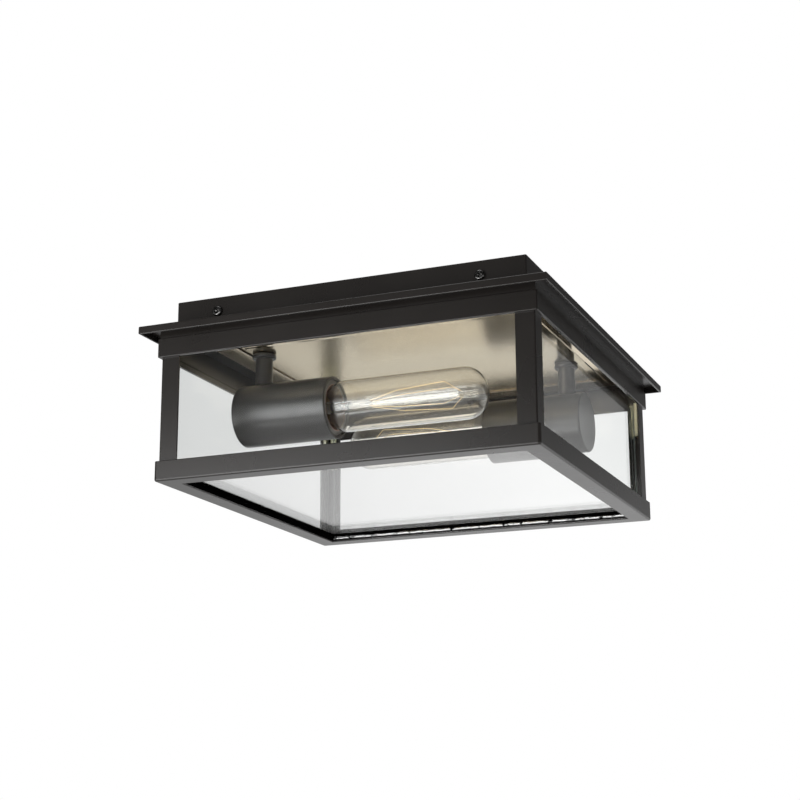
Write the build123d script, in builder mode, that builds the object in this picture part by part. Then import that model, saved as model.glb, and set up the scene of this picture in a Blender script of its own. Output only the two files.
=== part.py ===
"""Square flush ceiling lantern: a glazed cage round two lamps that lie under a brass pan.

The origin is on the ceiling plane at the middle of the fixture. +Z is up, X runs
along the front and Y to the rear. Sizes are in millimetres.
"""

import os

from build123d import *

os.makedirs("parts", exist_ok=True)

# Cage frame
frame_width = 284.6
frame_wall = 2.4
apron_height = 20.1
apron_step_height = 6.2
apron_step_setback = 1.2
glazed_height = 76.0
rail_height = 14.6
rail_depth = 14.7
rail_corner_radius = 2.0
rail_edge_rounding = 1.5
edge_rounding = 0.5
upstand_height = 6.0
post_leg = 14.0
post_sheet = 1.5
bend_radius = 1.0

# Roof and canopy
eave_overhang = 10.2
eave_lip = 5.7
roof_sheet = 1.5
canopy_setback = 9.8
canopy_height = 21.2
canopy_sheet = 1.2

# Canopy screws, the fork ears that they pass through and the plates that they pull
screw_inset = 32.9
screw_rise = 10.4
screw_radius = 2.0
screw_hole_radius = 2.2
screw_head_radius = 3.75
screw_head_height = 2.4
screw_tip_gap = 0.5
recess_length = 4.2
recess_width = 1.1
recess_depth = 1.2
fork_width = 16.0
fork_clearance = 0.3
fork_drop = 3.0
clamp_thickness = 2.2
clamp_width = 12.0
clamp_edge = 5.0
clamp_gap = 0.8
thread_gap = 0.05

# Ceiling pan, socket plate and mounting strap
pan_sheet = 1.2
pan_clearance = 0.5
pan_ceiling_gap = 1.0
pan_depth = 24.0
rim_width = 17.5
plate_sheet = 1.2
plate_clearance = 0.5
tab_width = 12.0
tab_reach = 6.0
strap_width = 36.0
strap_sheet = 2.0
strap_ear = 14.0
strap_bend = 3.0
box_hole_spacing = 79.4
box_slot_radius = 2.4
box_slot_length = 14.3
pan_screw_spacing = 18.0
pan_screw_drop = 8.0
pan_screw_length = 6.0

# Stems
stem_radius = 6.5
stem_exposed = 24.1
stem_rim_gap = 9.2
stem_end_gap = 15.4
collar_radius = 9.0
collar_height = 4.0
collar_rounding = 1.8
nipple_radius = 4.8
nipple_bore = 3.5
nipple_gap = 0.1
nipple_proud = 0.8
lock_nut_flats = 13.0
lock_nut_height = 4.0

# Sockets, along each lamp's own axis: s runs from the mouth into the cup
socket_offset = 57.5
cup_radius = 23.1
cup_wall = 1.5
cup_lip = 2.5
cup_lip_depth = 2.0
cup_rounding = 1.5
mouth_rounding = 0.4
holder_clearance = 0.3
holder_recess = 0.8
holder_ledge = 2.65
holder_bore_depth = 11.2
holder_boss_length = 5.0
holder_wall = 1.15
holder_floor = 4.5
holder_stem_gap = 14.6
shell_sheet = 0.4
bracket_sheet = 1.5
bracket_width = 12.0
bracket_top_gap = 0.1
bracket_tail = 8.0
bracket_hang = 9.0
bracket_screw_spread = 6.0
bracket_screw_radius = 1.5
bracket_screw_head = 2.75
bracket_screw_head_height = 1.8
bracket_screw_length = 4.5
contact_sheet = 0.5
contact_width = 7.0
contact_half_length = 8.0
contact_rise = 1.0

# Lamps
lamp_exposed = 117.2
lamp_radius = 19.0
lamp_tip_radius = 16.0
lamp_wall = 0.9
lamp_neck_gap = 0.15
lamp_shoulder_gap = 1.0
lamp_seat_overlap = 6.0
base_depth = 10.0
base_radius = 13.1
base_sheet = 0.35
base_length = 25.0
lamp_gap = 0.3
insulator_length = 2.5
eyelet_radius = 4.8
eyelet_height = 1.2
mount_tube_radius = 3.6
mount_press = 28.0
mount_rod_radius = 1.0
mount_bead_radius = 2.2
filament_radius = 0.22
filament_strands = 4
filament_near = 50.0
filament_far = 88.0
filament_end = 98.0
filament_near_radius = 8.5
filament_far_radius = 11.5
filament_bend = 4.0
filament_gap = 0.3

# Glass, gasket and clips
glass_thickness = 3.0
glass_arris = 0.4
pane_setback = 3.0
pane_corner_gap = 3.0
pane_cover = 1.3
bottom_pane_clearance = 0.5
gasket_wall = 1.0
gasket_lift = 0.5
clip_sheet = 0.6
clip_reach = 1.2
clip_depth = 5.0
clip_height = 27.0
clip_bend = 0.3
clip_drop = 2.8

# Wiring
lead_radius = 1.1
lead_spread = 1.4
lead_terminal = 9.0
lead_straight = 4.0
lead_kink = 3.0
lead_bend = 5.0
lead_turn = 12.0
lead_cross = 40.0
connector_radius = 5.5
connector_tip_radius = 3.6
connector_length = 22.0
connector_bore = 2.8
connector_bore_depth = 12.0
connector_place = 12.0
connector_mouth = 14.0
connector_pair = 1.3
ground_place = (30.0, 10.0)
ground_ring_radius = 4.0
ground_ring_sheet = 0.8
ground_wire_radius = 0.8
ground_run = 30.0
ground_turn = 8.0

# Levels, from the ceiling down
roof_top = -canopy_height
roof_under = roof_top - roof_sheet
apron_step = roof_under - apron_step_height
apron_bottom = roof_under - apron_height
rail_top = apron_bottom - glazed_height
rail_bottom = rail_top - rail_height
rail_floor = rail_bottom + frame_wall
upstand_top = rail_bottom + upstand_height
flange_top = roof_top + canopy_sheet
screw_level = roof_top + screw_rise
rim_top = -pan_depth + pan_sheet
plate_top = rim_top + plate_sheet
socket_level = rim_top - stem_exposed - cup_radius
lead_level = (plate_top - strap_sheet) / 2

# Half widths, from the middle out
frame_half = frame_width / 2
eave_half = frame_half + eave_overhang
canopy_half = frame_half - canopy_setback
canopy_inside = canopy_half - canopy_sheet
fork_outside = canopy_inside - fork_clearance
fork_inside = fork_outside - pan_sheet
clamp_outside = fork_inside - fork_clearance
clamp_inside = clamp_outside - clamp_thickness
pan_half = clamp_inside - clamp_gap
pan_inside = pan_half - pan_sheet
rim_inside = pan_half - rim_width
roof_opening = pan_half + pan_clearance
screw_place = canopy_half - screw_inset
post_outside = frame_half - frame_wall
post_inside = post_outside - post_sheet
pane_outside = post_inside - pane_setback
pane_inside = pane_outside - glass_thickness
pane_half = pane_inside - pane_corner_gap
upstand_inside = frame_half - rail_depth
upstand_outside = upstand_inside + frame_wall
stem_place = rim_inside - stem_rim_gap

# Along a lamp's axis, from the socket's mouth past the lamp's base to the cup's closed end
lamp_tip = -lamp_exposed
lamp_shoulder = base_depth - lamp_shoulder_gap
lamp_seat_depth = base_depth + lamp_seat_overlap
base_end = base_depth + base_length
insulator_end = base_end + insulator_length
eyelet_end = insulator_end + eyelet_height
contact_front = eyelet_end + lamp_gap
holder_step = holder_recess + holder_bore_depth
holder_floor_along = contact_front + contact_rise + contact_sheet
holder_length = holder_floor_along + holder_floor
holder_body_length = holder_length - holder_boss_length
bracket_back = holder_length + bracket_sheet
stem_along = holder_length + holder_stem_gap
cup_length = stem_along + stem_end_gap
mouth_place = stem_place - stem_along

# Radii round a lamp's axis
holder_radius = cup_radius - cup_lip - holder_clearance
shell_inside = base_radius + lamp_gap
shell_outside = shell_inside + shell_sheet
pocket_radius = shell_outside + thread_gap
holder_bore = pocket_radius + holder_ledge
holder_boss_radius = pocket_radius + holder_wall
lamp_neck_radius = base_radius - base_sheet - lamp_neck_gap


def square_ring(outer, inner, top, height):
    """Add a square ring that hangs from the level top, given by its half widths."""
    with BuildSketch(Plane.XY.offset(top)) as ring:
        Rectangle(2 * outer, 2 * outer)
        Rectangle(2 * inner, 2 * inner, mode=Mode.SUBTRACT)
    extrude(ring.sketch, amount=-height)


def socket_plane(side):
    """The plane of one lamp's profile: local X runs into the cup, local Y is up."""
    return Plane(
        origin=(side * mouth_place, side * socket_offset, socket_level),
        x_dir=(side, 0, 0),
        z_dir=(0, -side, 0),
    )


def socket_axis(side):
    """The centre line of one lamp and its socket, pointing into the cup."""
    return Axis((side * mouth_place, side * socket_offset, socket_level), (side, 0, 0))


def turned(side, *points):
    """Turn a closed profile of (s, radius) points about one lamp's axis."""
    with BuildSketch(socket_plane(side)) as profile:
        with BuildLine():
            Polyline(*points, close=True)
        make_face()
    revolve(profile.sketch, axis=socket_axis(side))


def save(piece, name):
    """Label a finished piece and write it to its own file."""
    piece.label = name
    export_step(piece, f"parts/{name}.step")


# Mounting strap: a steel bar across the ceiling box, its ends bent down inside the pan
with BuildPart() as mounting_strap:
    with BuildSketch(Plane.XZ):
        with BuildLine():
            FilletPolyline(
                (-pan_inside, -strap_ear),
                (-pan_inside, 0),
                (pan_inside, 0),
                (pan_inside, -strap_ear),
                radius=strap_bend,
            )
            offset(amount=strap_sheet, side=Side.RIGHT)
        make_face()
    extrude(amount=strap_width / 2, both=True)
    with BuildSketch():
        with Locations((-box_hole_spacing / 2, 0), (box_hole_spacing / 2, 0)):
            SlotOverall(box_slot_length, 2 * box_slot_radius)
        with Locations(ground_place):
            Circle(screw_radius + thread_gap)
    extrude(amount=-strap_sheet, mode=Mode.SUBTRACT)
    with BuildSketch(Plane.YZ.offset(-pan_inside)):
        with Locations((-pan_screw_spacing / 2, -pan_screw_drop), (pan_screw_spacing / 2, -pan_screw_drop)):
            Circle(screw_radius + thread_gap)
    extrude(amount=2 * pan_inside, mode=Mode.SUBTRACT)
save(mounting_strap.part, "mounting_strap")

# Ground screw: threaded up into the strap, over the earth wire's ring
ground_x, ground_y = ground_place
with BuildPart() as ground_screw:
    with BuildSketch(Plane.XY.offset(-strap_sheet - ground_ring_sheet)):
        with Locations(ground_place):
            Circle(screw_head_radius)
    extrude(amount=-screw_head_height)
    fillet(ground_screw.faces().sort_by(Axis.Z)[0].edges(), screw_head_height / 2)
    with BuildSketch(Plane.XY.offset(-strap_sheet - ground_ring_sheet)):
        with Locations(ground_place):
            Circle(screw_radius)
    extrude(amount=strap_sheet + ground_ring_sheet - thread_gap)
save(ground_screw.part, "ground_screw")

# Ground lead: a ring under the screw and a bare wire bent down to the socket plate
wire_level = -strap_sheet - ground_wire_radius - thread_gap
with BuildPart() as ground_lead:
    with BuildSketch(Plane.XY.offset(-strap_sheet)):
        with Locations(ground_place):
            Circle(ground_ring_radius)
            Circle(screw_hole_radius, mode=Mode.SUBTRACT)
    extrude(amount=-ground_ring_sheet)
    wire_start = ground_x + screw_head_radius + thread_gap
    with BuildLine():
        wire_path = FilletPolyline(
            (wire_start, ground_y, wire_level),
            (wire_start + ground_run, ground_y, wire_level),
            (wire_start + ground_run, ground_y, plate_top),
            radius=ground_turn,
        )
    with BuildSketch(Plane((wire_start, ground_y, wire_level), z_dir=(1, 0, 0))):
        Circle(ground_wire_radius)
    sweep(path=wire_path)
save(ground_lead.part, "ground_lead")

# Ceiling pan: an angle frame whose rim carries the socket plate. Each wall has a tab bent
# over the plate, and the front and rear walls have two ears forked open downwards.
with BuildPart() as ceiling_pan:
    square_ring(pan_half, pan_inside, -pan_ceiling_gap, pan_depth - pan_ceiling_gap)
    square_ring(pan_half, rim_inside, rim_top, pan_sheet)
    rim_edges = ceiling_pan.faces().sort_by(Axis.Z)[0].inner_wires()[0].edges()
    fillet(rim_edges, pan_sheet / 2)
    with BuildSketch(Plane.XY.offset(plate_top)):
        with PolarLocations(pan_inside - tab_reach / 2, 4):
            Rectangle(tab_reach, tab_width)
    extrude(amount=pan_sheet)
    for face in (-1, 1):
        for place in (-screw_place, screw_place):
            with BuildSketch(Plane.YZ.offset(place)):
                with BuildLine():
                    Polyline(
                        (face * pan_half, -fork_drop),
                        (face * fork_outside, -fork_drop),
                        (face * fork_outside, flange_top + 2 * fork_clearance),
                        (face * fork_inside, flange_top + 2 * fork_clearance),
                        (face * fork_inside, -fork_drop - pan_sheet),
                        (face * pan_half, -fork_drop - pan_sheet),
                        close=True,
                    )
                make_face()
            extrude(amount=fork_width / 2, both=True)
            with BuildSketch(Plane.XZ.offset(-face * fork_inside)):
                with Locations((place, screw_level)):
                    Circle(screw_radius + fork_clearance)
                with Locations((place, screw_level - canopy_height / 2)):
                    Rectangle(2 * (screw_radius + fork_clearance), canopy_height)
            extrude(amount=-face * pan_sheet, mode=Mode.SUBTRACT)
    with BuildSketch(Plane.YZ.offset(-pan_half)):
        with Locations((-pan_screw_spacing / 2, -pan_screw_drop), (pan_screw_spacing / 2, -pan_screw_drop)):
            Circle(screw_hole_radius)
    extrude(amount=2 * pan_half, mode=Mode.SUBTRACT)
save(ceiling_pan.part, "ceiling_pan")

# Pan screws: through the pan's left and right walls into the strap's ears
with BuildPart() as pan_screws:
    for face in (-1, 1):
        for place in (-pan_screw_spacing / 2, pan_screw_spacing / 2):
            head_plane = Plane((face * pan_half, place, -pan_screw_drop), x_dir=(0, 1, 0), z_dir=(face, 0, 0))
            with BuildSketch(head_plane):
                Circle(screw_head_radius)
            extrude(amount=screw_head_height)
            with BuildSketch(head_plane):
                Circle(screw_radius)
            extrude(amount=-pan_screw_length)
save(pan_screws.part, "pan_screws")

# Socket plate: the brass square that is seen from below, resting on the pan's rim
with BuildPart() as socket_plate:
    plate_half = pan_inside - plate_clearance
    with BuildSketch(Plane.XY.offset(rim_top)):
        Rectangle(2 * plate_half, 2 * plate_half)
        with Locations((-stem_place, -socket_offset), (stem_place, socket_offset)):
            Circle(nipple_radius + nipple_gap, mode=Mode.SUBTRACT)
    extrude(amount=plate_sheet)
save(socket_plate.part, "socket_plate")

# Each socket: stem, collar and nipple, the cup with its lamp holder, and the lamp
nut_level = plate_top + lock_nut_height
bracket_top = (
    ((cup_radius - cup_wall) ** 2 - (bracket_width / 2) ** 2) ** 0.5 - bracket_top_gap
)
cup_nut_top = bracket_top - bracket_sheet
nipple_bottom = socket_level + cup_nut_top - lock_nut_height - nipple_proud
for side, name in ((-1, "front"), (1, "rear")):
    stem_spot = (side * stem_place, side * socket_offset)
    axis_plane = socket_plane(side)

    # Nipple: the hollow threaded pipe inside the stem
    with BuildPart() as nipple:
        with BuildSketch(Plane.XY.offset(nipple_bottom)):
            with Locations(stem_spot):
                Circle(nipple_radius)
                Circle(nipple_bore, mode=Mode.SUBTRACT)
        extrude(amount=nut_level + nipple_proud - nipple_bottom)
    save(nipple.part, f"{name}_nipple")

    # Stem: a tube from the plate, cut to a saddle on the cup
    with BuildPart() as stem:
        with BuildSketch(Plane.XY.offset(rim_top)):
            with Locations(stem_spot):
                Circle(stem_radius)
                Circle(nipple_radius + nipple_gap, mode=Mode.SUBTRACT)
        extrude(amount=-(stem_exposed + cup_radius / 2))
        with BuildSketch(Plane.YZ.offset(side * stem_place)):
            with Locations((side * socket_offset, socket_level)):
                Circle(cup_radius + thread_gap)
        extrude(amount=2 * stem_radius, both=True, mode=Mode.SUBTRACT)
    save(stem.part, f"{name}_stem")

    # Collar: a rounded ring over the stem, against the plate
    with BuildPart() as collar:
        with BuildSketch(Plane.XY.offset(rim_top)):
            with Locations(stem_spot):
                Circle(collar_radius)
        extrude(amount=-collar_height)
        fillet(collar.edges().filter_by(GeomType.CIRCLE), collar_rounding)
        with BuildSketch(Plane.XY.offset(rim_top)):
            with Locations(stem_spot):
                Circle(stem_radius + nipple_gap)
        extrude(amount=-collar_height, mode=Mode.SUBTRACT)
    save(collar.part, f"{name}_stem_collar")

    # Cup: a drawn cylinder with a turned-in lip and a hole for the nipple
    with BuildPart() as cup:
        turned(
            side,
            (0, cup_radius - cup_lip),
            (0, cup_radius),
            (cup_length, cup_radius),
            (cup_length, 0),
            (cup_length - cup_wall, 0),
            (cup_length - cup_wall, cup_radius - cup_wall),
            (cup_lip_depth, cup_radius - cup_wall),
            (cup_lip_depth, cup_radius - cup_lip),
        )
        closed_end = cup.faces().filter_by(GeomType.PLANE).sort_by(socket_axis(side))[-1]
        fillet(closed_end.edges(), cup_rounding)
        mouth_face = cup.faces().filter_by(GeomType.PLANE).sort_by(socket_axis(side))[0]
        fillet(mouth_face.edges(), mouth_rounding)
        with BuildSketch(Plane.XY.offset(socket_level)):
            with Locations(stem_spot):
                Circle(nipple_radius + nipple_gap)
        extrude(amount=cup_radius, mode=Mode.SUBTRACT)
    save(cup.part, f"{name}_socket_cup")

    # Lamp holder: the moulded body, with a stepped mouth and a boss for the bracket
    with BuildPart() as lampholder:
        turned(
            side,
            (holder_recess, holder_bore),
            (holder_recess, holder_radius),
            (holder_body_length, holder_radius),
            (holder_body_length, holder_boss_radius),
            (holder_length, holder_boss_radius),
            (holder_length, 0),
            (holder_floor_along, 0),
            (holder_floor_along, pocket_radius),
            (holder_step, pocket_radius),
            (holder_step, holder_bore),
        )
        front_ring = lampholder.faces().filter_by(GeomType.PLANE).sort_by(socket_axis(side))[0]
        fillet(front_ring.edges(), mouth_rounding)
        with BuildSketch(Plane((side * (mouth_place + holder_length), side * socket_offset, socket_level),
                               x_dir=(0, 1, 0), z_dir=(side, 0, 0))):
            with GridLocations(0, 2 * bracket_screw_spread, 1, 2):
                Circle(bracket_screw_radius + thread_gap)
        extrude(amount=-(bracket_screw_length - bracket_sheet), mode=Mode.SUBTRACT)
    save(lampholder.part, f"{name}_lampholder")

    # Screw shell: the thin sleeve that takes the lamp's base
    with BuildPart() as screw_shell:
        turned(
            side,
            (holder_step, shell_inside),
            (holder_step, shell_outside),
            (holder_floor_along, shell_outside),
            (holder_floor_along, shell_inside),
        )
    save(screw_shell.part, f"{name}_screw_shell")

    # Centre contact: a strip on the holder's floor, arched towards the lamp
    with BuildPart() as contact:
        with BuildSketch(axis_plane):
            with BuildLine():
                strip_back = holder_floor_along
                arch_half = contact_half_length / 2
                foot_low = Line((strip_back, -contact_half_length), (strip_back, -arch_half))
                arch = ThreePointArc(foot_low @ 1, (strip_back - contact_rise, 0), (strip_back, arch_half))
                Line(arch @ 1, (strip_back, contact_half_length))
                offset(amount=contact_sheet, side=Side.LEFT)
            make_face()
        extrude(amount=contact_width / 2, both=True)
    save(contact.part, f"{name}_centre_contact")

    # Socket bracket: a steel L between the holder's boss and the nipple
    with BuildPart() as bracket:
        with BuildSketch(axis_plane):
            with BuildLine():
                Polyline(
                    (holder_length, -bracket_hang),
                    (holder_length, bracket_top),
                    (stem_along + bracket_tail, bracket_top),
                    (stem_along + bracket_tail, cup_nut_top),
                    (bracket_back, cup_nut_top),
                    (bracket_back, -bracket_hang),
                    close=True,
                )
            make_face()
        extrude(amount=bracket_width / 2, both=True)
        with BuildSketch(Plane.XY.offset(socket_level + bracket_top)):
            with Locations(stem_spot):
                Circle(nipple_radius + nipple_gap)
        extrude(amount=-bracket_sheet, mode=Mode.SUBTRACT)
        with BuildSketch(Plane((side * (mouth_place + bracket_back), side * socket_offset, socket_level),
                               x_dir=(0, 1, 0), z_dir=(side, 0, 0))):
            with GridLocations(0, 2 * bracket_screw_spread, 1, 2):
                Circle(bracket_screw_radius + thread_gap)
        extrude(amount=-bracket_sheet, mode=Mode.SUBTRACT)
    save(bracket.part, f"{name}_socket_bracket")

    # Lamp glass: a clear tube with a round end and a drawn-in neck, open at the base
    with BuildPart() as lamp_glass:
        for skin, mode in ((0, Mode.ADD), (lamp_wall, Mode.SUBTRACT)):
            with BuildSketch(axis_plane):
                with BuildLine():
                    neck = Line(
                        (lamp_seat_depth, lamp_neck_radius - skin),
                        (lamp_shoulder, lamp_neck_radius - skin),
                    )
                    shoulder = Spline(
                        neck @ 1,
                        (-lamp_shoulder, lamp_radius - skin),
                        tangents=((-1, 0), (-1, 0)),
                    )
                    side_line = Line(shoulder @ 1, (lamp_tip + lamp_tip_radius, lamp_radius - skin))
                    end_arc = RadiusArc(
                        side_line @ 1,
                        (lamp_tip + skin, lamp_radius - lamp_tip_radius),
                        -(lamp_tip_radius - skin),
                    )
                    Polyline(end_arc @ 1, (lamp_tip + skin, 0), (lamp_seat_depth, 0), neck @ 0)
                make_face()
            revolve(axis=socket_axis(side), mode=mode)
    save(lamp_glass.part, f"{name}_lamp_glass")

    # Lamp base: the metal screw cap round the neck, turned in at its end
    with BuildPart() as lamp_base:
        turned(
            side,
            (base_depth, base_radius - base_sheet),
            (base_depth, base_radius),
            (base_end, base_radius),
            (base_end, eyelet_radius),
            (base_end - base_sheet, eyelet_radius),
            (base_end - base_sheet, base_radius - base_sheet),
        )
    save(lamp_base.part, f"{name}_lamp_base")

    # Lamp insulator: the black glass cone between the cap and the eyelet
    with BuildPart() as lamp_insulator:
        turned(
            side,
            (base_end, 0),
            (base_end, base_radius - insulator_length / 2),
            (insulator_end, eyelet_radius),
            (insulator_end, 0),
        )
    save(lamp_insulator.part, f"{name}_lamp_insulator")

    # Lamp eyelet: the soldered centre contact
    with BuildPart() as lamp_eyelet:
        turned(
            side,
            (insulator_end, 0),
            (insulator_end, eyelet_radius),
            (eyelet_end, eyelet_radius / 2),
            (eyelet_end, 0),
        )
    save(lamp_eyelet.part, f"{name}_lamp_eyelet")

    # Lamp mount: flared glass stem, press, and the thin rod with its bead
    with BuildPart() as lamp_mount:
        flare_radius = lamp_neck_radius - lamp_wall - filament_gap
        bead_reach = (mount_bead_radius**2 - mount_rod_radius**2) ** 0.5
        with BuildSketch(axis_plane):
            with BuildLine():
                bead = ThreePointArc(
                    (-filament_end + bead_reach, mount_rod_radius),
                    (-filament_end, mount_bead_radius),
                    (-filament_end - mount_bead_radius, 0),
                )
                Polyline(
                    bead @ 1,
                    (lamp_shoulder, 0),
                    (lamp_shoulder, mount_tube_radius),
                    (lamp_seat_depth, mount_tube_radius),
                    (lamp_seat_depth, flare_radius),
                    (lamp_seat_depth - lamp_wall, flare_radius),
                    (lamp_shoulder, mount_tube_radius + lamp_wall),
                    (-mount_press, mount_bead_radius),
                    (-mount_press, mount_rod_radius),
                    bead @ 0,
                )
            make_face()
        revolve(axis=socket_axis(side))
    save(lamp_mount.part, f"{name}_lamp_mount")

    # Lamp filament: long strands in a cage round the rod
    with BuildPart() as lamp_filament:
        strand_root = mount_bead_radius + filament_gap + filament_radius
        for strand in range(filament_strands):
            strand_plane = axis_plane.rotated(((strand + 0.5) * 360 / filament_strands, 0, 0))
            with BuildLine(strand_plane):
                strand_path = FilletPolyline(
                    (-mount_press, strand_root),
                    (-filament_near, filament_near_radius),
                    (-filament_far, filament_far_radius),
                    (-filament_end, strand_root),
                    radius=filament_bend,
                )
            with BuildSketch(Plane(strand_path @ 0, z_dir=strand_path % 0)):
                Circle(filament_radius)
            sweep(path=strand_path)
    save(lamp_filament.part, f"{name}_lamp_filament")

# Stem lock nuts: one on the plate and one under the bracket in each socket
with BuildPart() as stem_lock_nuts:
    for side in (-1, 1):
        for seat in (plate_top, socket_level + cup_nut_top - lock_nut_height):
            with BuildSketch(Plane.XY.offset(seat)):
                with Locations((side * stem_place, side * socket_offset)):
                    RegularPolygon(lock_nut_flats / 2, 6, major_radius=False, rotation=30)
                    Circle(nipple_radius + thread_gap, mode=Mode.SUBTRACT)
            extrude(amount=lock_nut_height)
save(stem_lock_nuts.part, "stem_lock_nuts")

# Bracket screws: two behind each lamp holder
with BuildPart() as bracket_screws:
    for side in (-1, 1):
        for spread in (-bracket_screw_spread, bracket_screw_spread):
            head_plane = Plane(
                (side * (mouth_place + bracket_back), side * socket_offset, socket_level + spread),
                x_dir=(0, 1, 0),
                z_dir=(side, 0, 0),
            )
            with BuildSketch(head_plane):
                Circle(bracket_screw_head)
            extrude(amount=bracket_screw_head_height)
            with BuildSketch(head_plane):
                Circle(bracket_screw_radius)
            extrude(amount=-bracket_screw_length)
save(bracket_screws.part, "bracket_screws")


def lead_route(toward, points):
    """A wire's corners from the holder's back, up the nipple, then along the given points."""
    terminal = -socket_offset + toward * lead_terminal
    risen = -socket_offset + toward * lead_spread
    back = -(mouth_place + holder_length)
    start = (back, terminal, socket_level)
    straight = (back - lead_straight, terminal, socket_level)
    foot = (-stem_place, risen, socket_level)
    head = (-stem_place, risen, lead_level)
    return [start, straight, foot, head] + [(x, y, lead_level) for x, y in points]


def lead(route, turn):
    """Sweep one insulated wire along its route, turned about the middle of the fixture."""
    placed = [Vector(*point).rotate(Axis.Z, turn) for point in route]
    rise = [lead_kink, lead_bend, lead_bend]
    corners = len(placed[1:-1])
    radii = rise + [lead_turn] * (corners - len(rise))
    with BuildLine():
        path = FilletPolyline(*placed, radius=radii)
    with BuildSketch(Plane(path @ 0, z_dir=path % 0)) as section:
        Circle(lead_radius)
    sweep(section.sketch, path=path)


# Leads: a black and a white wire from each holder. The short route goes straight to its
# connector, and the long one goes round to the connector's other side.
connector_end = connector_mouth - connector_bore_depth
near_lane = connector_place + connector_pair
far_lane = connector_place - connector_pair
short_route = lead_route(
    -1,
    [(-near_lane, -socket_offset - lead_spread), (-near_lane, -connector_end)],
)
long_route = lead_route(
    1,
    [(-stem_place, lead_cross), (far_lane, lead_cross), (far_lane, connector_end)],
)
with BuildPart() as black_leads:
    lead(short_route, 0)
    lead(long_route, 180)
save(black_leads.part, "black_leads")

with BuildPart() as white_leads:
    lead(long_route, 0)
    lead(short_route, 180)
save(white_leads.part, "white_leads")

# Wire connectors: twist-on caps, each over one pair of wire ends
with BuildPart() as wire_connectors:
    for side in (-1, 1):
        cap_plane = Plane(
            (side * connector_place, side * connector_mouth, lead_level),
            x_dir=(0, -side, 0),
            z_dir=(0, 0, 1),
        )
        cap_axis = Axis(cap_plane.origin, cap_plane.x_dir)
        with BuildSketch(cap_plane):
            with BuildLine():
                Polyline(
                    (0, connector_bore),
                    (0, connector_radius),
                    (connector_length, connector_tip_radius),
                    (connector_length, 0),
                    (connector_bore_depth, 0),
                    (connector_bore_depth, connector_bore),
                    close=True,
                )
            make_face()
        revolve(axis=cap_axis)
save(wire_connectors.part, "wire_connectors")

# Canopy: four walls on an inward flange that sits on the roof
with BuildPart() as canopy:
    square_ring(canopy_half, canopy_inside, 0, canopy_height)
    fillet(canopy.edges().filter_by(Axis.Z).group_by(SortBy.DISTANCE)[-1], bend_radius)
    fillet(canopy.faces().sort_by(Axis.Z)[-1].outer_wire().edges(), edge_rounding)
    square_ring(canopy_half - canopy_sheet / 2, roof_opening, flange_top, canopy_sheet)
    with BuildSketch(Plane.XZ):
        with Locations((-screw_place, screw_level), (screw_place, screw_level)):
            Circle(screw_hole_radius)
    extrude(amount=canopy_half, both=True, mode=Mode.SUBTRACT)
save(canopy.part, "canopy")

# Roof: a flat sheet with a lip folded down at the eave and an opening for the pan
with BuildPart() as roof:
    square_ring(eave_half, roof_opening, roof_top, roof_sheet)
    square_ring(eave_half, eave_half - roof_sheet, roof_top, eave_lip)
    eave_edges = roof.faces().sort_by(Axis.Z)[-1].outer_wire().edges()
    fillet(eave_edges, bend_radius)
    fillet(roof.faces().sort_by(Axis.Z)[0].edges(), edge_rounding)
save(roof.part, "roof")

# Apron: the thin skirt under the roof, stepped back along its top
with BuildPart() as apron:
    square_ring(frame_half, post_outside, apron_step, apron_step - apron_bottom)
    fillet(apron.edges().filter_by(Axis.Z).group_by(SortBy.DISTANCE)[-1], bend_radius)
    for level in (0, -1):
        fillet(apron.faces().sort_by(Axis.Z)[level].outer_wire().edges(), edge_rounding)
    square_ring(frame_half - apron_step_setback, post_outside, roof_under, apron_step_height)
save(apron.part, "apron")

# Posts: angles that stand on the rail's floor and run up inside the apron
post_names = ("rear_right_post", "rear_left_post", "front_left_post", "front_right_post")
for quarter, name in enumerate(post_names):
    with BuildPart() as post:
        with BuildSketch(Plane.XY.offset(rail_floor).rotated((0, 0, 90 * quarter))):
            with BuildLine():
                Polyline(
                    (post_outside - post_leg, post_inside),
                    (post_outside - post_leg, post_outside),
                    (post_outside, post_outside),
                    (post_outside, post_outside - post_leg),
                    (post_inside, post_outside - post_leg),
                    (post_inside, post_inside),
                    close=True,
                )
            make_face()
        extrude(amount=roof_under - rail_floor)
        fillet(post.edges().filter_by(Axis.Z).group_by(SortBy.DISTANCE)[-1], bend_radius)
    save(post.part, name)

# Bottom rail: a channel frame with a tall outer wall and a low inner upstand
with BuildPart() as bottom_rail:
    square_ring(frame_half, post_outside, rail_top, rail_height)
    fillet(bottom_rail.edges().filter_by(Axis.Z).group_by(SortBy.DISTANCE)[-1], rail_corner_radius)
    square_ring(post_outside, upstand_inside, rail_floor, frame_wall)
    square_ring(upstand_outside, upstand_inside, upstand_top, upstand_height)
    fillet(bottom_rail.faces().sort_by(Axis.Z)[-1].outer_wire().edges(), edge_rounding)
    underside = bottom_rail.faces().sort_by(Axis.Z)[0]
    fillet(underside.inner_wires()[0].edges(), edge_rounding)
    underside = bottom_rail.faces().sort_by(Axis.Z)[0]
    fillet(underside.outer_wire().edges(), rail_edge_rounding)
save(bottom_rail.part, "bottom_rail")

# Bottom gasket: black rubber edging pushed over the upstand
with BuildPart() as bottom_gasket:
    gasket_top = upstand_top + gasket_wall
    square_ring(upstand_outside + gasket_wall, upstand_inside - gasket_wall, gasket_top, gasket_wall)
    square_ring(upstand_outside + gasket_wall, upstand_outside, upstand_top, upstand_top - rail_floor)
    inner_skirt = upstand_height - gasket_lift
    square_ring(upstand_inside, upstand_inside - gasket_wall, upstand_top, inner_skirt)
save(bottom_gasket.part, "bottom_gasket")

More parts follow.
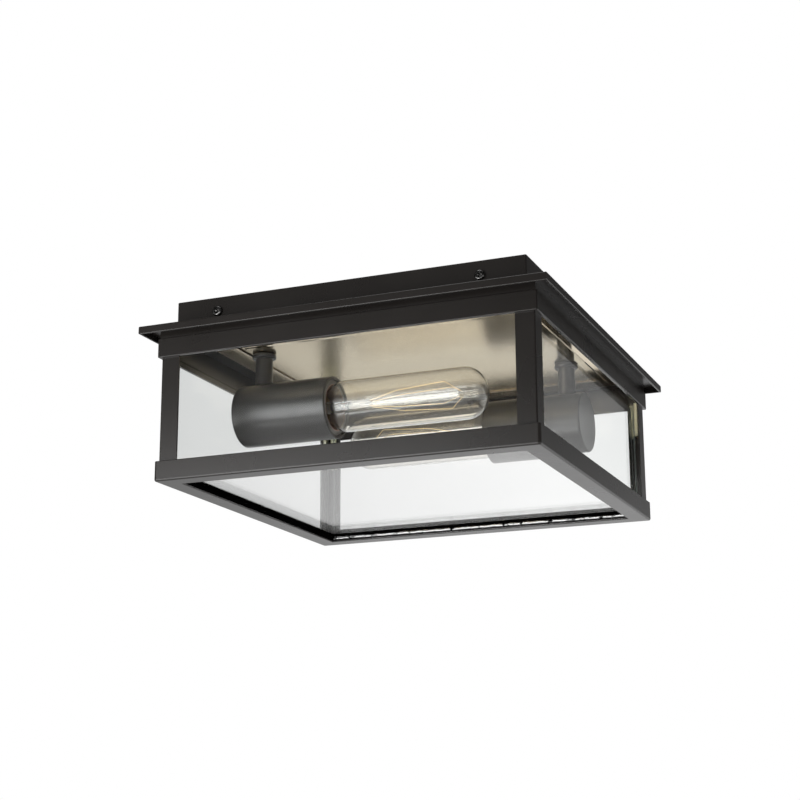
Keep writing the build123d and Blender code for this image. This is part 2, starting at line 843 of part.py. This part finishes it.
# Bottom pane: clear glass lying on the gasket
with BuildPart() as bottom_pane:
    bottom_half = pane_inside - bottom_pane_clearance
    with BuildSketch(Plane.XY.offset(gasket_top)):
        Rectangle(2 * bottom_half, 2 * bottom_half)
    extrude(amount=glass_thickness)
    chamfer(bottom_pane.edges().filter_by(Axis.Z, reverse=True), glass_arris)
save(bottom_pane.part, "bottom_pane")

# Side panes: four alike, standing in the rail's channel behind the posts
pane_top = apron_bottom + pane_cover
for quarter, name in enumerate(("right_pane", "rear_pane", "left_pane", "front_pane")):
    with BuildPart() as pane:
        with BuildSketch(Plane.XY.offset(rail_floor).rotated((0, 0, 90 * quarter))):
            with Locations((pane_outside - glass_thickness / 2, 0)):
                Rectangle(glass_thickness, 2 * pane_half)
        extrude(amount=pane_top - rail_floor)
        chamfer(pane.edges(), glass_arris)
    save(pane.part, name)

# Glass clips: folded spring strips wedged between a pane's upright edge and the post's leg
with BuildPart() as glass_clips:
    clip_start = pane_half - clip_reach
    clip_end = clip_start + clip_depth
    for quarter in range(4):
        clip_plane = Plane.XY.offset(apron_bottom + clip_drop).rotated((0, 0, 90 * quarter))
        for end in (-1, 1):
            with BuildSketch(clip_plane):
                with BuildLine():
                    FilletPolyline(
                        (pane_outside, end * clip_end),
                        (pane_outside, end * clip_start),
                        (post_inside, end * clip_start),
                        (post_inside, end * clip_end),
                        radius=clip_bend,
                    )
                    offset(amount=clip_sheet, side=Side.LEFT if end > 0 else Side.RIGHT)
                make_face()
            extrude(amount=-clip_height)
save(glass_clips.part, "glass_clips")

# Clamp plates: tapped plates behind the fork ears, standing on the canopy's flange
with BuildPart() as clamp_plates:
    clamp_height = screw_level + clamp_edge - flange_top
    for face in (-1, 1):
        for place in (-screw_place, screw_place):
            with BuildSketch(Plane.XZ.offset(-face * clamp_inside)):
                with Locations((place, flange_top + clamp_height / 2)):
                    Rectangle(clamp_width, clamp_height)
                with Locations((place, screw_level)):
                    Circle(screw_radius + thread_gap, mode=Mode.SUBTRACT)
            extrude(amount=-face * clamp_thickness)
save(clamp_plates.part, "clamp_plates")

# Canopy screws: cross-recessed pan heads on the front and rear walls
canopy_screws = (
    ("front_left_canopy_screw", -1, -1),
    ("front_right_canopy_screw", 1, -1),
    ("rear_left_canopy_screw", -1, 1),
    ("rear_right_canopy_screw", 1, 1),
)
for name, along, face in canopy_screws:
    with BuildPart() as canopy_screw:
        seat = Plane(
            (along * screw_place, face * (canopy_half + thread_gap), screw_level),
            x_dir=(1, 0, 0),
            z_dir=(0, face, 0),
        )
        with BuildSketch(seat):
            Circle(screw_head_radius)
        extrude(amount=screw_head_height)
        crown = canopy_screw.faces().filter_by(GeomType.PLANE).sort_by(Axis.Y)[-1 if face > 0 else 0]
        fillet(crown.edges(), 0.6 * screw_head_height)
        with BuildSketch(seat.offset(screw_head_height)):
            Rectangle(recess_length, recess_width)
            Rectangle(recess_width, recess_length)
        extrude(amount=-recess_depth, mode=Mode.SUBTRACT)
        with BuildSketch(seat):
            Circle(screw_radius)
        extrude(amount=-(canopy_half + thread_gap - pan_half - screw_tip_gap))
    save(canopy_screw.part, name)
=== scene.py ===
"""A square ceiling lantern in dark bronze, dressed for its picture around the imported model."""

import math

import bmesh
import bpy
from mathutils import Matrix, Quaternion, Vector


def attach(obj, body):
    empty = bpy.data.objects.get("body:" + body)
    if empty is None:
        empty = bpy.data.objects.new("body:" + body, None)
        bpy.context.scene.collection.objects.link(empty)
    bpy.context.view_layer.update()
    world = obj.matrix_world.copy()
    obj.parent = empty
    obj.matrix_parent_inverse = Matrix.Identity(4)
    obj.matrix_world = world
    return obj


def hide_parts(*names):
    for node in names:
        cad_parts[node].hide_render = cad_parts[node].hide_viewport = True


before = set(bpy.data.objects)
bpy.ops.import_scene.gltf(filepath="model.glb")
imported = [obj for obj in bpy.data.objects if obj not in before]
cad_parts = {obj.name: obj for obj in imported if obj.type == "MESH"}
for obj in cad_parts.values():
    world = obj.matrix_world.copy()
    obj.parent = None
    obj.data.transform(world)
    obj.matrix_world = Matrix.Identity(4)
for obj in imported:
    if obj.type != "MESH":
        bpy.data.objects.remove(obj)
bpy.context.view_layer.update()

# Mounting strap and steel hardware: the crossbar on the ceiling box, with the screws, nuts,
# threaded pipes and brackets. Pressed from sheet or turned from bar, then zinc plated, so
# the grain of the crystals shows as faint cloudy patches.


class Tone:
    """One output socket of a finish's nodes. Sums and products of tones add Math nodes."""

    def __init__(self, socket):
        self.socket = socket

    def node(self, kind, settings=None, inputs=None, out=0):
        """Adds a node to the same tree: its settings first, then its sockets' values or links."""
        tree = self.socket.id_data
        made = tree.nodes.new("ShaderNode" + kind)
        for name, value in (settings or {}).items():
            if name == "stops":
                ramp = made.color_ramp.elements
                while len(ramp) < len(value):
                    ramp.new(1.0)
                for stop, (place, level) in zip(ramp, value):
                    stop.position = place
                    stop.color = (level, level, level, 1)
            else:
                setattr(made, name, value)
        for name, value in (inputs or {}).items():
            if isinstance(value, Tone):
                tree.links.new(value.socket, made.inputs[name])
            else:
                made.inputs[name].default_value = value
        return Tone(made.outputs[out])

    def noise(self, size, detail=2.0):
        """Cloudy noise, 0 to 1, with lumps of about this size in metres."""
        return self.node("TexNoise", None, {"Vector": self, "Scale": 1 / size, "Detail": detail})

    def stretched(self, x, y, z):
        """The same coordinates scaled along each axis."""
        return self.node("Mapping", None, {"Vector": self, "Scale": (x, y, z)})

    def axis(self, index):
        """One of these coordinates, 0 to 2 for x, y and z."""
        return self.node("SeparateXYZ", None, {"Vector": self}, out=index)

    def folded(self):
        """The coordinates without their signs, so that all four sides are one."""
        return self.node("VectorMath", {"operation": "ABSOLUTE"}, {0: self})

    def above(self, limit):
        """1 where this tone is over the limit, and 0 elsewhere."""
        return self.maths("GREATER_THAN", self, limit)

    def ramp(self, *stops):
        """Straight steps between stops, each a place along this tone and a level."""
        return self.node("ValToRGB", {"stops": stops}, {"Fac": self})

    def blend(self, low, high):
        """The colour low where this tone is 0, and high where it is 1. Either may be a tone."""
        low, high = (end if isinstance(end, Tone) else (*end, 1) for end in (low, high))
        return self.node("Mix", {"data_type": "RGBA"}, {0: self, 6: low, 7: high}, out=2)

    def bump(self, strength, depth):
        """A normal that is raised where this tone is high, by depth metres."""
        return self.node("Bump", None, {"Height": self, "Strength": strength, "Distance": depth})

    def maths(self, operation, first, second):
        """A Math node of this operation on two tones or numbers."""
        return self.node("Math", {"operation": operation}, {0: first, 1: second})

    def __add__(self, other):
        return self.maths("ADD", self, other)

    def __mul__(self, other):
        return self.maths("MULTIPLY", self, other)

    def __sub__(self, other):
        return self.maths("SUBTRACT", self, other)

    def __rsub__(self, other):
        return self.maths("SUBTRACT", other, self)

    __radd__ = __add__
    __rmul__ = __mul__


def finish(name, **constants):
    """A new material: it, its shader, and the tone of its piece's own coordinates."""
    material = bpy.data.materials.new(name)
    material.use_nodes = True
    shader = material.node_tree.nodes["Principled BSDF"]
    for socket, value in constants.items():
        shader.inputs[socket.replace("_", " ")].default_value = value
    place = Tone(shader.outputs[0]).node("TexCoord", out="Object")
    return material, shader, place


def drive(shader, **tones):
    """Links tones to a shader's sockets."""
    for socket, tone in tones.items():
        shader.id_data.links.new(tone.socket, shader.inputs[socket.replace("_", " ")])


def dress(material, *nodes):
    """Gives modelled nodes their finish."""
    for node in nodes:
        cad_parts[node].material_slots[0].material = material


SIDES = ("front", "rear")
zinc, shader, place = finish("zinc_plate", Metallic=1.0)
crystals = place.node("TexVoronoi", None, {"Vector": place, "Scale": 260.0})
cloud = place.noise(0.02, 4.0)
drive(
    shader,
    Base_Color=(0.6 * cloud + 0.4 * crystals).blend((0.42, 0.43, 0.45), (0.68, 0.69, 0.7)),
    Roughness=0.3 + 0.22 * cloud,
    Normal=place.stretched(1, 8, 8).noise(0.003, 3.0).bump(0.12, 0.0002),
)
dress(zinc, "mounting_strap", "pan_screws", "stem_lock_nuts", "bracket_screws", "clamp_plates")
for side in SIDES:
    dress(zinc, f"{side}_nipple", f"{side}_socket_bracket")

# Earth screw and earth wire: a green steel screw in the strap, and bare drawn copper wire
# that has dulled to brown in patches.
green, shader, place = finish("earth_green", Roughness=0.35, Coat_Weight=0.4)
drive(shader, Base_Color=place.noise(0.002).blend((0.03, 0.16, 0.05), (0.06, 0.26, 0.09)))
dress(green, "ground_screw")

copper, shader, place = finish("bare_copper", Metallic=1.0)
tarnish = place.noise(0.006, 4.0)
drive(
    shader,
    Base_Color=tarnish.ramp((0.4, 0), (0.65, 1)).blend((0.78, 0.42, 0.28), (0.4, 0.2, 0.12)),
    Roughness=0.22 + 0.25 * tarnish,
)
dress(copper, "ground_lead")

# Leads and connectors: stranded wire in black and white insulation, and moulded twist-on
# caps in orange. The insulation is extruded, with a faint sheen and a lengthwise drag.
for name, low, high in (
    ("black", (0.008, 0.008, 0.009), (0.02, 0.02, 0.021)),
    ("white", (0.62, 0.61, 0.57), (0.76, 0.75, 0.71)),
):
    insulation, shader, place = finish(f"{name}_insulation", Specular_IOR_Level=0.4)
    drag = place.noise(0.004, 3.0)
    drive(shader, Base_Color=drag.blend(low, high), Roughness=0.38 + 0.15 * drag)
    dress(insulation, f"{name}_leads")

cap_plastic, shader, place = finish("connector_plastic", Subsurface_Weight=0.05)
grain = place.noise(0.0012, 2.0)
drive(
    shader,
    Base_Color=grain.blend((0.62, 0.2, 0.03), (0.75, 0.27, 0.05)),
    Roughness=0.42 + 0.12 * grain,
    Normal=grain.bump(0.15, 0.0001),
)
dress(cap_plastic, "wire_connectors")

# Ceiling pan and socket plate: pressed steel with a satin brass plating. The plate is rolled
# sheet, so its sheen has long soft streaks, and handling leaves faint cloudy marks. The pan's
# inward rim, on which the plate lies, is glossier. Its cut edge is rougher and painted dark, as
# a painted shadow of the seam between the rim and the plate.
rim_opening, rim_edge, plate_level = 0.1086, 0.1093, -0.02285
brass, shader, place = finish("satin_brass", Metallic=1.0)
streaks = place.stretched(0.35, 3.0, 1.0).noise(0.012, 3.0)
marks = place.noise(0.045, 3.0)
sides = place.folded()
reach = sides.maths("MAXIMUM", sides.axis(0), sides.axis(1))
beneath = 1 - place.axis(2).above(plate_level)
rim = reach.above(rim_edge) * beneath
# The cut edge is rougher, and its dark colour is a painted shadow of the seam between rim and plate.
cut_and_seam_shade = reach.above(rim_opening) * beneath - rim
plating = (0.4 * streaks + 0.6 * marks).blend((0.61, 0.51, 0.36), (0.71, 0.62, 0.46))
drive(
    shader,
    Base_Color=cut_and_seam_shade.blend(plating, (0.12, 0.1, 0.08)),
    Roughness=0.19 + 0.06 * marks + 0.03 * streaks + 0.2 * cut_and_seam_shade - 0.11 * rim,
    Normal=place.noise(0.04, 2.0).bump(0.04, 0.0006),
)
dress(brass, "ceiling_pan", "socket_plate")

# Stems, collars and socket cups: drawn and turned steel, sprayed with a satin dark bronze that
# is a shade lighter than the cage's.
satin, shader, place = finish("satin_bronze", Specular_IOR_Level=0.5)
shade = place.noise(0.03, 3.0)
drive(
    shader,
    Base_Color=shade.blend((0.029, 0.0277, 0.0268), (0.037, 0.0355, 0.0345)),
    Roughness=0.27 + 0.05 * shade,
    Normal=place.noise(0.005, 3.0).bump(0.03, 0.0002),
)
for side in SIDES:
    dress(satin, f"{side}_stem", f"{side}_stem_collar", f"{side}_socket_cup")

# The whole cage: folded steel sheet with a baked powder coat in dark bronze. It flows into a
# faint orange peel, and its gloss varies a little from panel to panel.
bronze, shader, place = finish("bronze_paint", Specular_IOR_Level=0.5)
peel = place.noise(0.006, 3.0)
tint = place.noise(0.05, 3.0)
drive(
    shader,
    Base_Color=tint.blend((0.0108, 0.009, 0.0078), (0.0178, 0.0152, 0.0134)),
    Roughness=0.25 + 0.06 * tint,
    Normal=peel.bump(0.03, 0.0002),
)
dress(bronze, "canopy", "roof", "apron", "bottom_rail")
for side in SIDES:
    dress(bronze, f"{side}_left_post", f"{side}_right_post")

# Lamp holders and contacts: moulded brown phenolic with a grey front ring, and pressed brass
# for the screw shell, the sprung tongue and the lamp's own cap.
holder_row, holder_level, holder_ring = 0.0575, 0.07, 0.0172
phenolic, shader, place = finish("holder_phenolic", Coat_Weight=0.2)
mottle = place.noise(0.003, 3.0)
outward = place.node("Mapping", None, {"Vector": place.folded(), "Scale": (0, 1, 1),
                                       "Location": (0, -holder_row, -holder_level)})
radius = outward.node("VectorMath", {"operation": "LENGTH"}, {0: outward}, out="Value")
ring = (radius * (0.86 / holder_ring)).ramp((0.86, 0), (0.87, 1))
drive(
    shader,
    Base_Color=ring.blend((0.4, 0.26, 0.2), (0.16, 0.155, 0.15)),
    Roughness=0.34 + 0.14 * mottle,
)
contact, shader, place = finish("contact_brass", Metallic=1.0)
rub = place.noise(0.004, 3.0)
drive(
    shader,
    Base_Color=rub.blend((0.72, 0.55, 0.26), (0.85, 0.7, 0.4)),
    Roughness=0.22 + 0.2 * rub,
)
for side in SIDES:
    dress(phenolic, f"{side}_lampholder")
    dress(contact, f"{side}_screw_shell", f"{side}_centre_contact")
    dress(contact, f"{side}_lamp_eyelet", f"{side}_lamp_base")

# Lamps: clear blown glass with a faint amber stain, a flared glass mount, a black glass
# insulator in the cap, and thin carbon-brown strands held round the mount's rod.


def glass(name, tint, passed, clarity=1.0, **constants):
    """Clear glass, which lets the soft boxes' light through to what is behind it."""
    constants.update(Transmission_Weight=clarity, Base_Color=(*tint, 1))
    material, shader, place = finish(name, **constants)
    shadow = place.node("LightPath", out="Is Shadow Ray")
    open_air = place.node("BsdfTransparent", None, {"Color": (*passed, 1)})
    either = place.node("MixShader", None, {0: shadow, 1: Tone(shader.outputs[0]), 2: open_air})
    tree = material.node_tree
    tree.links.new(either.socket, tree.nodes["Material Output"].inputs["Surface"])
    return material, shader, place


def smear(shader, place):
    """Faint smears on glass, a little rougher than the clean parts between them."""
    drive(shader, Roughness=0.012 * place.noise(0.02, 3.0).ramp((0.45, 0), (0.75, 1)))


lamp_glass, shader, place = glass("lamp_glass", (1.0, 0.985, 0.95), (0.97, 0.95, 0.91), IOR=1.34,
                                  Coat_Weight=0.5, Coat_Roughness=0.26, Coat_IOR=1.55)
smear(shader, place)
mount_glass, shader, place = glass("mount_glass", (0.99, 0.98, 0.95), (0.95, 0.94, 0.92), IOR=1.5)
smear(shader, place)
cap_glass, shader, place = finish("cap_glass", Roughness=0.12)
drive(shader, Base_Color=place.noise(0.002).blend((0.006, 0.006, 0.008), (0.02, 0.02, 0.024)))
strand, shader, place = finish("filament", Metallic=0.8)
heat = place.noise(0.003, 2.0)
drive(shader, Base_Color=heat.blend((0.9, 0.62, 0.28), (1.0, 0.84, 0.54)), Roughness=0.3 + 0.2 * heat)
for side in SIDES:
    dress(lamp_glass, f"{side}_lamp_glass")
    dress(mount_glass, f"{side}_lamp_mount")
    dress(cap_glass, f"{side}_lamp_insulator")
    dress(strand, f"{side}_lamp_filament")

# Bottom gasket: black rubber edging pushed over the rail's upstand, with a hollow bulb along
# its inner side. It is cut and laid by hand, so the bulb is a little wavy. Its section is given
# as distances from the lantern's middle and heights.
inward_waves = ((0.00014, 87, 2.0), (0.0001, 39, 0.0))
upward_waves = ((0.00016, 61, 0.0), (0.00012, 143, 1.0))
bulb_inside = 0.1268
grip_inside, grip_outside = 0.1275, 0.13
edging_inside, edging_outside = 0.1266, 0.1309
gasket_top, grip_top, outer_bottom = -0.1265, -0.1275, -0.1309
bevel, rounding = 0.0005, 0.0007
bulb_level, bulb_radius = -0.13025, 0.00187


def arc(middle, level, radius, first, last, steps):
    """Points along a round stretch of the edging's section, between two angles in degrees."""
    turns = [math.radians(first + (last - first) * step / steps) for step in range(steps + 1)]
    return [(middle + radius * math.cos(turn), level + radius * math.sin(turn)) for turn in turns]


section = [
    (grip_outside, outer_bottom),
    (edging_outside, outer_bottom),
    (edging_outside, gasket_top - bevel),
    (edging_outside - bevel, gasket_top),
    *arc(edging_inside + rounding, gasket_top - rounding, rounding, 90, 180, 2),
    *arc(grip_inside, bulb_level, bulb_radius, 118, 270, 7),
    (grip_inside, grip_top),
    (grip_outside, grip_top),
]
steps = 96


def add_piece(name, mesh, material, body, crease=35.0):
    """Turns a finished bmesh into a piece of the visual model that rides on a body."""
    bmesh.ops.recalc_face_normals(mesh, faces=mesh.faces)
    for face in mesh.faces:
        face.smooth = True
    for edge in mesh.edges:
        edge.smooth = edge.calc_face_angle(math.pi) < math.radians(crease)
    data = bpy.data.meshes.new(name)
    mesh.to_mesh(data)
    mesh.free()
    data.materials.append(material)
    made = bpy.data.objects.new(name, data)
    bpy.context.scene.collection.objects.link(made)
    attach(made, body)
    return made


def wave(along, waves):
    """The sum of sine waves at a place along one side, each a height, a rate and a start."""
    return sum(height * math.sin(rate * along + start) for height, rate, start in waves)


strip = bmesh.new()
loop = [strip.verts.new((-1, half, level)) for half, level in section]
edges = [strip.edges.new(pair) for pair in zip(loop, loop[1:] + loop[:1])]
for step in range(steps):
    made = bmesh.ops.extrude_edge_only(strip, edges=edges)["geom"]
    fresh = [part for part in made if isinstance(part, bmesh.types.BMVert)]
    bmesh.ops.translate(strip, verts=fresh, vec=(2 / steps, 0, 0))
    edges = [part for part in made if isinstance(part, bmesh.types.BMEdge)
             and all(vert in fresh for vert in part.verts)]
for vert in strip.verts:
    along, half, level = vert.co
    if half < bulb_inside:
        ease = min(1.0, 12 * (1 - abs(along)))
        half += ease * wave(along, inward_waves)
        level += ease * wave(along, upward_waves)
    vert.co = (along * half, half, level)
first_side = strip.verts[:] + strip.edges[:] + strip.faces[:]
for turn in range(1, 4):
    copied = bmesh.ops.duplicate(strip, geom=first_side)["geom"]
    bmesh.ops.rotate(strip, verts=[part for part in copied if isinstance(part, bmesh.types.BMVert)],
                     cent=(0, 0, 0), matrix=Matrix.Rotation(turn * math.pi / 2, 3, "Z"))
bmesh.ops.remove_doubles(strip, verts=strip.verts, dist=0.00002)
rubber, shader, place = finish("gasket_rubber", Roughness=0.8, Specular_IOR_Level=0.0,
                               Coat_Roughness=0.06, Coat_IOR=2.8)
sides = place.folded()
drop = (gasket_top - place.axis(2)) * 180
skin = drop.ramp((0.5, 0), (0.6, 1), (0.86, 1), (0.94, 0)) * (sides.axis(1) - sides.axis(0)).above(0)
drive(
    shader,
    Base_Color=place.noise(0.003).blend((0.0005, 0.0005, 0.0005), (0.002, 0.002, 0.002)),
    Coat_Weight=skin * place.noise(0.006, 3.0).ramp((0.36, 0), (0.44, 1)),
)
gasket = add_piece("gasket_edging", strip, rubber, "cage")
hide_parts("bottom_gasket")

# Panes: clear float glass, standing in the rail's channel and lying on the gasket. Their upright
# edges are ground matt and tinted dark, as painted shade of the gaps at the posts, and the top
# edges behind the apron are polished clear. The bottom pane has a thin haze, as things look
# paler through it in the photograph.
clear, let_through = (0.975, 0.985, 0.98), (0.95, 0.96, 0.955)
upright_edge, top_edge = 0.1291, -0.0419
pane_glass, shader, place = glass("pane_glass", clear, let_through, IOR=1.16)
width = place.folded()
# The upright edges are ground rougher, and their dark tint is painted shade of the gaps at the posts.
ground_and_gap_shade = width.maths("MINIMUM", width.axis(0), width.axis(1)).above(upright_edge)
drive(
    shader,
    Base_Color=ground_and_gap_shade.blend(clear, (0.12, 0.14, 0.13)),
    Roughness=0.01 * place.noise(0.02, 3.0) + 0.6 * ground_and_gap_shade,
    Alpha=1 - place.axis(2).above(top_edge),
)
dress(pane_glass, "front_pane", "rear_pane", "left_pane", "right_pane")
hazed_glass, shader, place = glass("hazed_glass", (1, 1, 1), let_through, clarity=0.93, IOR=1.15)
smear(shader, place)
dress(hazed_glass, "bottom_pane")

# Clips: narrow strips of spring steel, folded over and yellow passivated, wedged between the
# panes and the posts.
clip, shader, place = finish("clip_steel", Metallic=1.0)
film = place.noise(0.005, 3.0)
drive(
    shader,
    Base_Color=film.blend((0.5, 0.49, 0.36), (0.66, 0.66, 0.52)),
    Roughness=0.28 + 0.15 * film,
)
dress(clip, "glass_clips")

# Canopy screws: cross-recessed pan heads in black oxide, rubbed bright where a driver turned.
# They go through the canopy's walls and pull it against the pan's fork ears.
oxide, shader, place = finish("black_oxide", Metallic=1.0)
rubbed = place.noise(0.0012, 2.0)
drive(
    shader,
    Base_Color=rubbed.ramp((0.45, 0), (0.65, 1)).blend((0.06, 0.058, 0.056), (0.3, 0.295, 0.29)),
    Roughness=0.18 + 0.12 * rubbed,
)
for side in SIDES:
    dress(oxide, f"{side}_left_canopy_screw", f"{side}_right_canopy_screw")

# Stage: a plain pale floor well below the fixture, white all round, and four soft boxes: two in
# front for the cups and lamps, one above for the roof, and one lower down for the undersides.
# The room behind the camera is dimmer than the backdrop, which is greyer at the left.
floor_level, floor_reach = -1.5, 4.0
floor_mesh = bmesh.new()
bmesh.ops.create_circle(floor_mesh, cap_ends=True, segments=96, radius=floor_reach,
                        matrix=Matrix.Translation((0, 0, floor_level)))
floor_data = bpy.data.meshes.new("floor")
floor_mesh.to_mesh(floor_data)
floor_mesh.free()
floor = bpy.data.objects.new("floor", floor_data)
bpy.context.scene.collection.objects.link(floor)
paper, shader, place = finish("floor_paper", Roughness=0.9, Specular_IOR_Level=0.1)
drive(shader, Base_Color=place.noise(0.8).blend((0.84, 0.84, 0.84), (0.87, 0.87, 0.87)))
floor_data.materials.append(paper)

world = bpy.data.worlds.new("studio")
bpy.context.scene.world = world
world.use_nodes = True
backdrop = world.node_tree.nodes["Background"]
ray = Tone(backdrop.outputs[0]).node("TexCoord", out="Generated")
path = ray.node("LightPath")
outputs = path.socket.node.outputs
straight, through, mirrored = (
    Tone(outputs[f"Is {kind} Ray"]) for kind in ("Camera", "Transmission", "Glossy")
)
across, along, up = (0.5 + 0.5 * ray.axis(index) for index in range(3))
fade = across.ramp((0.25, 0.72), (0.36, 1))
dim = across.ramp((0.25, 0.54), (0.31, 0.95), (0.36, 1))
behind = along.ramp((0.45, 0), (0.65, 1))
low = up.ramp((0.565, 1), (0.635, 0))
under = up.ramp((0.47, 1), (0.5, 0))
room = ray.maths("MAXIMUM", 0.06 + 0.5 * behind * low, dim * under)
fill_level = 0.65
bounced = mirrored * room + (1 - mirrored) * fill_level
level = straight + (1 - straight) * (through * fade + (1 - through) * bounced)
world.node_tree.links.new(level.socket, backdrop.inputs["Strength"])
backdrop.inputs["Color"].default_value = (1, 1, 1, 1)

for name, spot, aim, size, power in (
    ("front_box", (-0.36, -0.86, -0.03), (0, 0, -0.08), (0.5, 0.1), 0.95),
    ("low_box", (-0.36, -0.84, -0.32), (0, 0, -0.08), (0.5, 0.36), 2.9),
    ("top_box", (0, 0.1, 1.5), (0, 0, 0), (1.4, 1.4), 9.0),
    ("floor_box", (-0.3, -0.7, -0.65), (0, 0, -0.08), (0.5, 0.3), 1.8),
):
    light = bpy.data.lights.new(name, "AREA")
    light.shape = "RECTANGLE"
    light.size, light.size_y = size
    light.energy = power
    box = bpy.data.objects.new(name, light)
    box.location = spot
    box.rotation_euler = (Vector(aim) - Vector(spot)).to_track_quat("-Z", "Y").to_euler()
    bpy.context.scene.collection.objects.link(box)

# Camera: a long lens, about 1.3 m away, to the right of the front and below the lantern, and
# turned a little on its own axis, as the photograph was taken.
camera_place = Vector((0.458, -1.1487, -0.3843))
azimuth, elevation, roll = math.radians(22.31), math.radians(-14.94), math.radians(-0.282)
lens = bpy.data.cameras.new("camera")
lens.lens, lens.sensor_width = 76.0, 36.0
camera = bpy.data.objects.new("camera", lens)
camera.location = camera_place
level_reach = math.cos(elevation)
back = Vector((math.sin(azimuth) * level_reach, -math.cos(azimuth) * level_reach, math.sin(elevation)))
aim = (-back).to_track_quat("-Z", "Y") @ Quaternion((0, 0, 1), roll)
camera.rotation_euler = aim.to_euler()
bpy.context.scene.collection.objects.link(camera)
bpy.context.scene.camera = camera
bpy.context.scene.view_settings.view_transform = "Standard"
